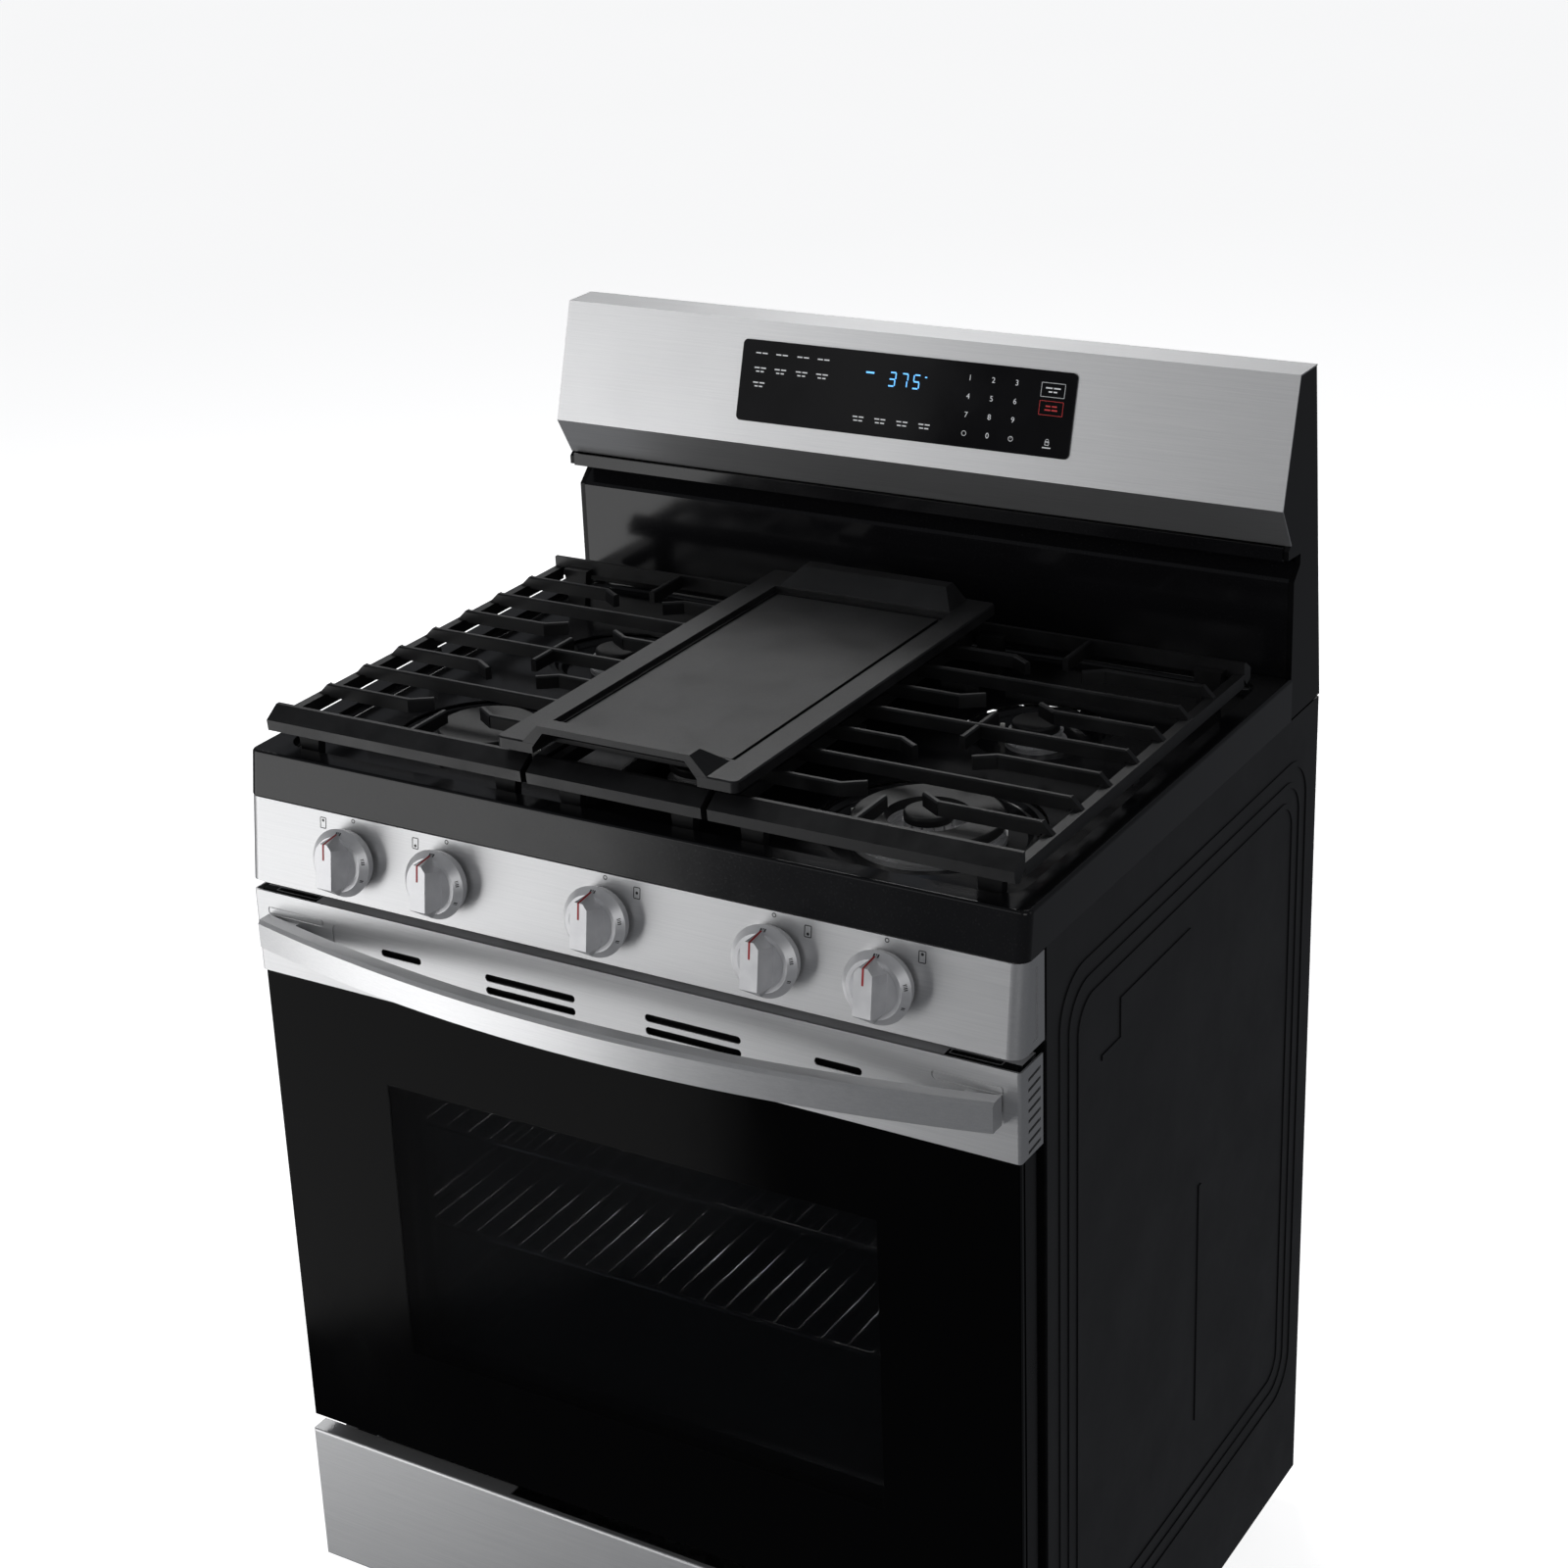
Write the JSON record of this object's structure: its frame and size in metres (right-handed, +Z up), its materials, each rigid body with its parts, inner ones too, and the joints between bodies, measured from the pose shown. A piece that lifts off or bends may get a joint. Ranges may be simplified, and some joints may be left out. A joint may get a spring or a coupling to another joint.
{
  "type": "freestanding gas range",
  "caption": "Freestanding gas range with stainless control panel, sealed burners under cast grates, centre griddle, display backguard, glass oven door and storage drawer.",
  "frame": {"origin": "on the floor, under the middle of the bounding box", "axes": "+Z up, the oven door faces -Y, +X to the right seen from the front"},
  "size_m": [0.757, 0.686, 1.192],
  "materials": {
    "dark_panel": "satin dark enamel",
    "black_porcelain": "gloss black porcelain enamel",
    "stainless": "horizontally brushed",
    "black_trim": "gloss black paint",
    "galvanised": "zinc coated sheet",
    "steel_parts": "plain steel",
    "chrome_wire": "bright plated",
    "enamel": "speckled oven enamel",
    "fibre": "mineral fibre",
    "gasket": "woven glass seal",
    "cast_iron": "satin black",
    "burner_alloy": "cast and machined",
    "tube_alloy": "drawn tube",
    "brass": "machined",
    "igniter_ceramic": "white ceramic",
    "black_glass": "black tinted glass",
    "clear_glass": "clear heat resistant glass",
    "lamp_glass": "frosted glass",
    "black_plastic": "moulded",
    "board": "circuit board",
    "knob_metal": "satin cast metal"
  },
  "bodies": {
    "range": {"right_side_panel": "dark_panel", "left_side_panel": "dark_panel", "rear_panel": "galvanised", "base_frame": "galvanised", "levelling_feet": "black_plastic", "front_frame": "black_trim", "oven_cavity": "enamel", "oven_insulation": "fibre", "bake_burner": "steel_parts", "broil_burner": "steel_parts", "convection_fan_cover": "enamel", "convection_motor": "steel_parts", "oven_lamp": "lamp_glass", "door_gasket": "gasket", "cooktop": "black_porcelain", "burner_heads": "burner_alloy", "igniters": "igniter_ceramic", "gas_manifold": "steel_parts", "gas_regulator": "brass", "burner_valves": "brass", "gas_tubes": "tube_alloy", "power_inlet": "black_plastic", "control_panel": "stainless", "backguard_panel": "stainless", "display_glass": "black_glass", "control_board": "board", "backguard_lower_panel": "black_porcelain", "backguard_end_caps": "black_trim"},
    "door": {"door_top_trim": "stainless", "door_outer_glass": "black_glass", "door_frame": "black_trim", "door_inner_panel": "enamel", "door_inner_glass": "clear_glass", "door_hinge_arms": "steel_parts", "door_handle": "stainless"},
    "drawer": {"drawer_front": "stainless", "drawer_box": "galvanised"},
    "lower_rack": {"lower_rack": "chrome_wire"},
    "upper_rack": {"upper_rack": "chrome_wire"},
    "convection_fan": {"convection_fan": "steel_parts"},
    "left_grate": {"left_grate": "cast_iron"},
    "right_grate": {"right_grate": "cast_iron"},
    "centre_grate": {"centre_grate": "cast_iron"},
    "griddle": {"griddle": "cast_iron"},
    "front_left_burner_cap": {"front_left_burner_cap": "cast_iron"},
    "rear_left_burner_cap": {"rear_left_burner_cap": "cast_iron"},
    "front_right_burner_cap": {"front_right_burner_cap": "cast_iron"},
    "front_right_inner_cap": {"front_right_inner_cap": "cast_iron"},
    "rear_right_burner_cap": {"rear_right_burner_cap": "cast_iron"},
    "centre_burner_cap": {"centre_burner_cap": "cast_iron"},
    "knob_stem_1": {"knob_stem_1": "steel_parts"},
    "knob_1": {"knob_1": "knob_metal"},
    "knob_stem_2": {"knob_stem_2": "steel_parts"},
    "knob_2": {"knob_2": "knob_metal"},
    "knob_stem_3": {"knob_stem_3": "steel_parts"},
    "knob_3": {"knob_3": "knob_metal"},
    "knob_stem_4": {"knob_stem_4": "steel_parts"},
    "knob_4": {"knob_4": "knob_metal"},
    "knob_stem_5": {"knob_stem_5": "steel_parts"},
    "knob_5": {"knob_5": "knob_metal"}
  },
  "joints": [
    {"name": "door_hinge", "type": "hinge", "parent": "range", "child": "door", "pos_m": [0, -0.262, 0.236], "axis": [1, 0, 0], "range_deg": [0, 88], "stiffness_Nm_per_rad": 20, "springref_deg": -17.19},
    {"name": "drawer_slide", "type": "slide", "parent": "range", "child": "drawer", "axis": [0, -1, 0], "range_m": [0, 0.36]},
    {"name": "lower_rack_slide", "type": "slide", "parent": "range", "child": "lower_rack", "axis": [0, -1, 0], "range_m": [0, 0.025]},
    {"name": "upper_rack_slide", "type": "slide", "parent": "range", "child": "upper_rack", "axis": [0, -1, 0], "range_m": [0, 0.025]},
    {"name": "fan_spin", "type": "hinge", "parent": "range", "child": "convection_fan", "pos_m": [0, 0.236, 0.48], "axis": [0, 1, 0], "continuous": true},
    {"name": "left_grate_lift", "type": "slide", "parent": "range", "child": "left_grate", "axis": [0, 0, 1], "range_m": [0, 0.005]},
    {"name": "right_grate_lift", "type": "slide", "parent": "range", "child": "right_grate", "axis": [0, 0, 1], "range_m": [0, 0.005]},
    {"name": "centre_grate_lift", "type": "slide", "parent": "range", "child": "centre_grate", "axis": [0, 0, 1], "range_m": [0, 0.1]},
    {"name": "griddle_lift", "type": "slide", "parent": "centre_grate", "child": "griddle", "axis": [0, 0, 1], "range_m": [0, 0.15]},
    {"name": "front_left_burner_cap_lift", "type": "slide", "parent": "range", "child": "front_left_burner_cap", "axis": [0, 0, 1], "range_m": [0, 0.015]},
    {"name": "rear_left_burner_cap_lift", "type": "slide", "parent": "range", "child": "rear_left_burner_cap", "axis": [0, 0, 1], "range_m": [0, 0.015]},
    {"name": "front_right_burner_cap_lift", "type": "slide", "parent": "range", "child": "front_right_burner_cap", "axis": [0, 0, 1], "range_m": [0, 0.015]},
    {"name": "front_right_inner_cap_lift", "type": "slide", "parent": "range", "child": "front_right_inner_cap", "axis": [0, 0, 1], "range_m": [0, 0.015]},
    {"name": "rear_right_burner_cap_lift", "type": "slide", "parent": "range", "child": "rear_right_burner_cap", "axis": [0, 0, 1], "range_m": [0, 0.015]},
    {"name": "centre_burner_cap_lift", "type": "slide", "parent": "range", "child": "centre_burner_cap", "axis": [0, 0, 1], "range_m": [0, 0.015]},
    {"name": "knob_1_push", "type": "slide", "parent": "range", "child": "knob_stem_1", "axis": [0, 0.9917, -0.1283], "range_m": [0, 0.0025], "stiffness_N_per_m": 900, "springref_m": -0.004},
    {"name": "knob_1_turn", "type": "hinge", "parent": "knob_stem_1", "child": "knob_1", "pos_m": [-0.264, -0.27889, 0.835], "axis": [0, -0.9917, 0.1283], "range_deg": [0, 210]},
    {"name": "knob_2_push", "type": "slide", "parent": "range", "child": "knob_stem_2", "axis": [0, 0.9917, -0.1283], "range_m": [0, 0.0025], "stiffness_N_per_m": 900, "springref_m": -0.004},
    {"name": "knob_2_turn", "type": "hinge", "parent": "knob_stem_2", "child": "knob_2", "pos_m": [-0.164, -0.27889, 0.835], "axis": [0, -0.9917, 0.1283], "range_deg": [0, 210]},
    {"name": "knob_3_push", "type": "slide", "parent": "range", "child": "knob_stem_3", "axis": [0, 0.9917, -0.1283], "range_m": [0, 0.0025], "stiffness_N_per_m": 900, "springref_m": -0.004},
    {"name": "knob_3_turn", "type": "hinge", "parent": "knob_stem_3", "child": "knob_3", "pos_m": [-0.001, -0.27889, 0.835], "axis": [0, -0.9917, 0.1283], "range_deg": [0, 210]},
    {"name": "knob_4_push", "type": "slide", "parent": "range", "child": "knob_stem_4", "axis": [0, 0.9917, -0.1283], "range_m": [0, 0.0025], "stiffness_N_per_m": 900, "springref_m": -0.004},
    {"name": "knob_4_turn", "type": "hinge", "parent": "knob_stem_4", "child": "knob_4", "pos_m": [0.16, -0.27889, 0.835], "axis": [0, -0.9917, 0.1283], "range_deg": [0, 210]},
    {"name": "knob_5_push", "type": "slide", "parent": "range", "child": "knob_stem_5", "axis": [0, 0.9917, -0.1283], "range_m": [0, 0.0025], "stiffness_N_per_m": 900, "springref_m": -0.004},
    {"name": "knob_5_turn", "type": "hinge", "parent": "knob_stem_5", "child": "knob_5", "pos_m": [0.261, -0.27889, 0.835], "axis": [0, -0.9917, 0.1283], "range_deg": [0, 210]}
  ]
}
